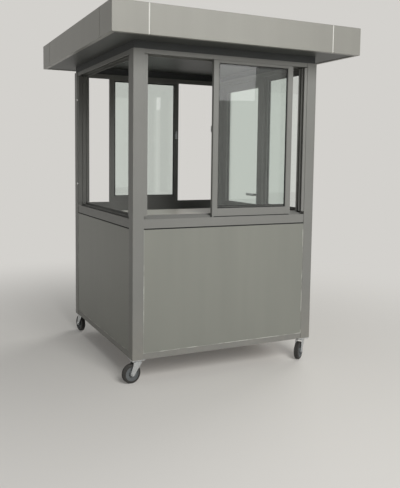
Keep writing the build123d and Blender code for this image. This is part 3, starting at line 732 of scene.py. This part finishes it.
# Door seal: a black rubber strip stuck to the stops on the door post and under the head.
# It is the same rubber as the gaskets. The closed door stops just short of it.
stop_gap = 0.005
seal_thick = 0.004
seal_width = 0.009
seal_off_sill = 0.002
seal_round = 0.0015
post_low, post_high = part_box("door_post")
head_low, head_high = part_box("right_head")
leaf_low, leaf_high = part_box("door_leaf")
stop_face = leaf_low[0] - stop_gap
post_seal = block(
    "run",
    (stop_face, post_high[1] - seal_width, post_low[2] + seal_off_sill),
    (stop_face + seal_thick, post_high[1], head_low[2]),
)
head_seal = block(
    "run",
    (stop_face, post_high[1], head_low[2]),
    (stop_face + seal_thick, head_high[1], head_low[2] + seal_width),
)
door_seal = join("door_seal", [bevel_all(post_seal, seal_round), bevel_all(head_seal, seal_round)])
wear(rubber, door_seal)
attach(door_seal, "booth")

# Screws and bolts: bright plated button heads with a socket, and hexagon bolts in the caster plates.
# Two screws show on the left window's far jamb. The others hold the hinges, handle and window locks.
# Plated steel is mirror bright where it is clean and greyer where it is scuffed.
plated, tree, shader, place = new_material("bright_plated_fastener_steel")
scuff_mm = 2.5
smoothest = 0.16
roughest = 0.34
scuffs = add_node(tree, "ShaderNodeTexNoise", {"Vector": place, "Scale": 1000 / scuff_mm, "Detail": 3})
shine = add_node(
    tree,
    "ShaderNodeMapRange",
    {"Value": scuffs.outputs["Fac"], "To Min": smoothest, "To Max": roughest},
)
tree.links.new(shine.outputs["Result"], shader.inputs["Roughness"])
shader.inputs["Base Color"].default_value = linear("#cfd0cf")
shader.inputs["Metallic"].default_value = 1.0


def button_head(radius, tall, sides):
    """One screw head on the origin that faces +Z: a disc with its rim rounded and a socket sunk in it."""
    rim = radius * 0.55
    socket_depth = tall / 2
    rounding = tall / 5
    bpy.ops.object.select_all(action="DESELECT")
    bpy.ops.mesh.primitive_cylinder_add(vertices=sides, radius=radius, depth=tall, location=(0, 0, tall / 2))
    head = bpy.context.object
    bpy.ops.object.transform_apply(location=True, rotation=True, scale=True)
    pick_faces(head, 2)
    bpy.ops.mesh.inset(thickness=rim, depth=0)
    bpy.ops.mesh.extrude_region_move(TRANSFORM_OT_translate={"value": (0, 0, -socket_depth)})
    bpy.ops.object.mode_set(mode="OBJECT")
    return bevel_all(head, rounding)


def set_fixings(name, head, places, body):
    """Copies a head to each place, turned to face its direction, as one piece on a body."""
    copies = []
    for place, facing in places:
        copy = head.copy()
        copy.data = head.data.copy()
        bpy.context.scene.collection.objects.link(copy)
        turn = Vector((0, 0, 1)).rotation_difference(Vector(facing)).to_matrix().to_4x4()
        copy.data.transform(Matrix.Translation(place) @ turn)
        copies.append(copy)
    fixings = join(name, copies)
    wear(plated, fixings)
    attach(fixings, body)


screw = button_head(radius=0.0042, tall=0.0026, sides=18)
pan_screw = button_head(radius=0.009, tall=0.009, sides=24)
bolt = button_head(radius=0.0075, tall=0.0045, sides=6)

jamb_screw_in = 0.011
jamb_screw_heights = (1.217, 1.875)
frame_low, frame_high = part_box("window_frame_left")
set_fixings(
    "left_jamb_screws",
    pan_screw,
    [((frame_low[0], frame_high[1] - jamb_screw_in, z), (-1, 0, 0)) for z in jamb_screw_heights],
    "booth",
)

hinge_length = 0.1
hinge_plate_thick = 0.003
hinge_screw_step = 0.034
post_leaf_half = 0.015
flap_screw_places = (0.007, 0.021)
hinge_low, hinge_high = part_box("door_hinge_posts")
flap_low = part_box("door_hinge_flaps")[0]
hinge_heights = (
    hinge_low[2] + hinge_length / 2,
    (hinge_low[2] + hinge_high[2]) / 2,
    hinge_high[2] - hinge_length / 2,
)
post_leaf_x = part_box("post_back_right")[1][0] + hinge_plate_thick
post_leaf_y = hinge_high[1] - post_leaf_half
set_fixings(
    "hinge_screws_post",
    screw,
    [
        ((post_leaf_x, post_leaf_y, height + step), (1, 0, 0))
        for height in hinge_heights
        for step in (-hinge_screw_step, 0.0, hinge_screw_step)
    ],
    "booth",
)
set_fixings(
    "hinge_screws_door",
    screw,
    [
        ((flap_low[0] + hinge_plate_thick, flap_low[1] + along, height), (1, 0, 0))
        for height in hinge_heights
        for along in flap_screw_places
    ],
    "door",
)

handle_plate_width = 0.034
handle_plate_proud = 0.007
handle_screw_in = 0.012
handle_low, handle_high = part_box("door_handle")
handle_plate_y = handle_low[1] + handle_plate_width / 2
set_fixings(
    "handle_screws",
    screw,
    [
        ((face_x + out * handle_plate_proud, handle_plate_y, z), (out, 0, 0))
        for face_x, out in ((leaf_high[0], 1), (leaf_low[0], -1))
        for z in (handle_low[2] + handle_screw_in, handle_high[2] - handle_screw_in)
    ],
    "door",
)

lock_height = 1.62
lock_screw_step = 0.026
lock_plate_thick = 0.003
lock_places = []
for name, toward_room in (("sash_front_inner", 1), ("sash_back_inner", -1)):
    low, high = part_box(name)
    room_face = high[1] if toward_room > 0 else low[1]
    for step in (-lock_screw_step, lock_screw_step):
        spot = (high[0] - sash_stile / 2, room_face + toward_room * lock_plate_thick, lock_height + step)
        lock_places.append((spot, (0, toward_room, 0)))
set_fixings("lock_screws", screw, lock_places, "booth")

caster_plate_thick = 0.004
bolt_step = 0.036
pivot_in = 0.045
plates_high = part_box("caster_plates")[1]
plate_under = plates_high[2] - caster_plate_thick
pivots = [
    (sx * (plates_high[0] - pivot_in), sy * (plates_high[1] - pivot_in))
    for sx in (-1, 1)
    for sy in (-1, 1)
]
set_fixings(
    "caster_plate_bolts",
    bolt,
    [
        ((x + dx * bolt_step, y + dy * bolt_step, plate_under), (0, 0, -1))
        for x, y in pivots
        for dx in (-1, 1)
        for dy in (-1, 1)
    ],
    "booth",
)
for pattern in (screw, pan_screw, bolt):
    bpy.data.objects.remove(pattern)

# Keyways: the dark slot in each face of the door's lock cylinder, cut through the plug for its key.
# Nothing shows in it but shadow, so it takes the black of the rubber.
cylinder_height = 1.077
cylinder_out = 0.010
keyway_sunk = 0.001
keyway_proud = 0.0002
keyway_half_width = 0.0011
keyway_half_tall = 0.0045
keyway_round = 0.0001
keyways = []
for face_x, out in ((leaf_high[0], 1), (leaf_low[0], -1)):
    x = face_x + out * cylinder_out
    ends = sorted((x - out * keyway_sunk, x + out * keyway_proud))
    slot = block(
        "slot",
        (ends[0], handle_plate_y - keyway_half_width, cylinder_height - keyway_half_tall),
        (ends[1], handle_plate_y + keyway_half_width, cylinder_height + keyway_half_tall),
    )
    keyways.append(slot)
keyway = bevel_all(join("lock_keyways", keyways), keyway_round)
wear(rubber, keyway)
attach(keyway, "door")

# Casters: plates and forks pressed from sheet steel and zinc plated, bolted under the base frame.
# Each wheel is a black rubber tyre bonded to a grey nylon centre. The rubber has gone grey in
# patches where it has rolled through dust, and both are dull.
wear(zinc, "caster_plates")
tyre_inner_radius = 0.0465
tread_scuff_mm = 11
for corner in ("front_left", "front_right", "back_left", "back_right"):
    wear(zinc, f"caster_fork_{corner}")
    joint = next(j for j in frame["joints"] if j["name"] == f"roll_{corner}")
    centre = Vector(joint["pos_m"])
    axle = Vector(joint["axis"])
    yaw = math.atan2(axle[1], axle[0])
    wheel, tree, shader, place = new_material(f"rubber_tyre_on_nylon_centre_{corner}")
    from_axle = add_node(tree, "ShaderNodeVectorMath", {0: place, 1: centre}, operation="SUBTRACT")
    turned = add_node(
        tree,
        "ShaderNodeVectorRotate",
        {"Vector": from_axle.outputs["Vector"], "Angle": -yaw},
        rotation_type="Z_AXIS",
    )
    flat = add_node(
        tree,
        "ShaderNodeVectorMath",
        {0: turned.outputs["Vector"], 1: (0.0, 1.0, 1.0)},
        operation="MULTIPLY",
    )
    radius = add_node(tree, "ShaderNodeVectorMath", {0: flat.outputs["Vector"]}, operation="LENGTH")
    is_tyre = add_node(
        tree,
        "ShaderNodeMath",
        {0: radius.outputs["Value"], 1: tyre_inner_radius},
        operation="GREATER_THAN",
    )
    scuff = add_node(
        tree,
        "ShaderNodeTexNoise",
        {"Vector": place, "Scale": 1000 / tread_scuff_mm, "Detail": 5},
    )
    tyre_tone = add_node(
        tree,
        "ShaderNodeMix",
        {0: scuff.outputs["Fac"], 6: linear("#232323"), 7: linear("#3d3b38")},
        data_type="RGBA",
    )
    tone = add_node(
        tree,
        "ShaderNodeMix",
        {0: is_tyre.outputs["Value"], 6: linear("#636667"), 7: tyre_tone.outputs[2]},
        data_type="RGBA",
    )
    tree.links.new(tone.outputs[2], shader.inputs["Base Color"])
    shader.inputs["Roughness"].default_value = 0.6
    wear(wheel, f"caster_wheel_{corner}")

# Studio: a pale floor that fades into an even pale backdrop, and four lamps over a weak even fill.
# The key stands high in front, with a broad lamp beside it for the sheen. A small card to the right
# is mirrored in the front glass, and a back fill stands behind on the right.
floor_size = 60
backdrop_colour = "#d3d1cd"
fade_start = 0.9
fade_end = 4.4
fade_least = 0.15
fill_strength = 0.17


def looked_at(tree):
    """1 where the camera looks straight, in a mirror or through glass, and 0 where light only bounces."""
    rays = add_node(tree, "ShaderNodeLightPath")
    straight = add_node(
        tree,
        "ShaderNodeMath",
        {0: rays.outputs["Is Camera Ray"], 1: rays.outputs["Is Glossy Ray"]},
        operation="MAXIMUM",
    )
    seen = add_node(
        tree,
        "ShaderNodeMath",
        {0: straight.outputs["Value"], 1: rays.outputs["Is Transmission Ray"]},
        operation="MAXIMUM",
    )
    return seen.outputs["Value"]


bpy.ops.object.select_all(action="DESELECT")
bpy.ops.mesh.primitive_plane_add(size=floor_size, location=(0, 0, 0))
floor = bpy.context.object
floor.name = "studio_floor"
floor_paint, tree, shader, place = new_material("pale_studio_floor")
shader.inputs["Base Color"].default_value = linear("#dcd9d3")
shader.inputs["Roughness"].default_value = 0.9
away = add_node(tree, "ShaderNodeVectorMath", {0: place}, operation="LENGTH")
fade = add_node(
    tree,
    "ShaderNodeMapRange",
    {"Value": away.outputs["Value"], "From Min": fade_start, "From Max": fade_end, "To Min": fade_least},
    interpolation_type="SMOOTHSTEP",
)
share = add_node(
    tree,
    "ShaderNodeMath",
    {0: fade.outputs["Result"], 1: looked_at(tree)},
    operation="MULTIPLY",
)
glow = add_node(tree, "ShaderNodeEmission", {"Color": linear(backdrop_colour), "Strength": 1.0})
blend = add_node(
    tree,
    "ShaderNodeMixShader",
    {0: share.outputs["Value"], 1: shader.outputs["BSDF"], 2: glow.outputs["Emission"]},
)
tree.links.new(blend.outputs["Shader"], tree.nodes["Material Output"].inputs["Surface"])
wear(floor_paint, floor)

world = bpy.data.worlds.new("studio")
bpy.context.scene.world = world
world.use_nodes = True
tree = world.node_tree
tree.nodes.clear()
fill = add_node(tree, "ShaderNodeBackground", {"Color": linear("#e4e7ea"), "Strength": fill_strength})
backdrop = add_node(tree, "ShaderNodeBackground", {"Color": linear(backdrop_colour), "Strength": 1.0})
both = add_node(
    tree,
    "ShaderNodeMixShader",
    {0: looked_at(tree), 1: fill.outputs["Background"], 2: backdrop.outputs["Background"]},
)
add_node(tree, "ShaderNodeOutputWorld", {"Surface": both.outputs["Shader"]})


def softbox(name, place, target, width, tall, watts, mirrored):
    """A rectangular lamp at a place, turned to face a target. One that isn't mirrored makes no highlight."""
    lamp = bpy.data.lights.new(name, "AREA")
    lamp.shape = "RECTANGLE"
    lamp.size = width
    lamp.size_y = tall
    lamp.energy = watts
    holder = bpy.data.objects.new(name, lamp)
    bpy.context.scene.collection.objects.link(holder)
    holder.visible_glossy = mirrored
    holder.visible_camera = False
    holder.visible_transmission = False
    holder.location = place
    holder.rotation_euler = (Vector(target) - Vector(place)).to_track_quat("-Z", "Y").to_euler()


softbox("key", (-0.3, -6.4, 4.5), (0.0, 0.0, 1.4), width=2.6, tall=4.4, watts=320, mirrored=False)
softbox("sheen", (-0.2, -6.6, 5.0), (0.0, 0.0, 1.6), width=4.4, tall=3.6, watts=100, mirrored=True)
softbox("window_card", (2.95, -6.6, 3.5), (0.2, -0.6, 1.9), width=1.5, tall=2.2, watts=30, mirrored=True)
softbox("back_fill", (5.6, 3.6, 4.0), (0.0, 0.0, 1.2), width=4.0, tall=3.0, watts=230, mirrored=False)

# Camera: stands where the photograph was taken from, as fitted to points measured in it.
# It looks about five degrees down. The photograph's frame isn't centred on the lens, so the sensor
# is shifted by the same share.
photo_width = 400
photo_height = 488
focal_px = 624.1
middle_px = (187.5, 212.3)
camera_place = (-1.9989, -4.2816, 1.4334)
azimuth, pitch, roll = (math.radians(a) for a in (25.18, 5.02, 0.63))
camera_data = bpy.data.cameras.new("camera")
camera = bpy.data.objects.new("camera", camera_data)
bpy.context.scene.collection.objects.link(camera)
bpy.context.scene.camera = camera
bpy.context.scene.view_settings.view_transform = "Standard"
camera_data.sensor_width = 36
camera_data.lens = focal_px * camera_data.sensor_width / photo_height
camera_data.shift_x = (photo_width / 2 - middle_px[0]) / photo_height
camera_data.shift_y = (middle_px[1] - photo_height / 2) / photo_height
turn = (
    Matrix.Rotation(-azimuth, 4, "Z")
    @ Matrix.Rotation(math.radians(90) - pitch, 4, "X")
    @ Matrix.Rotation(roll, 4, "Z")
)
camera.location = camera_place
camera.rotation_euler = turn.to_euler()
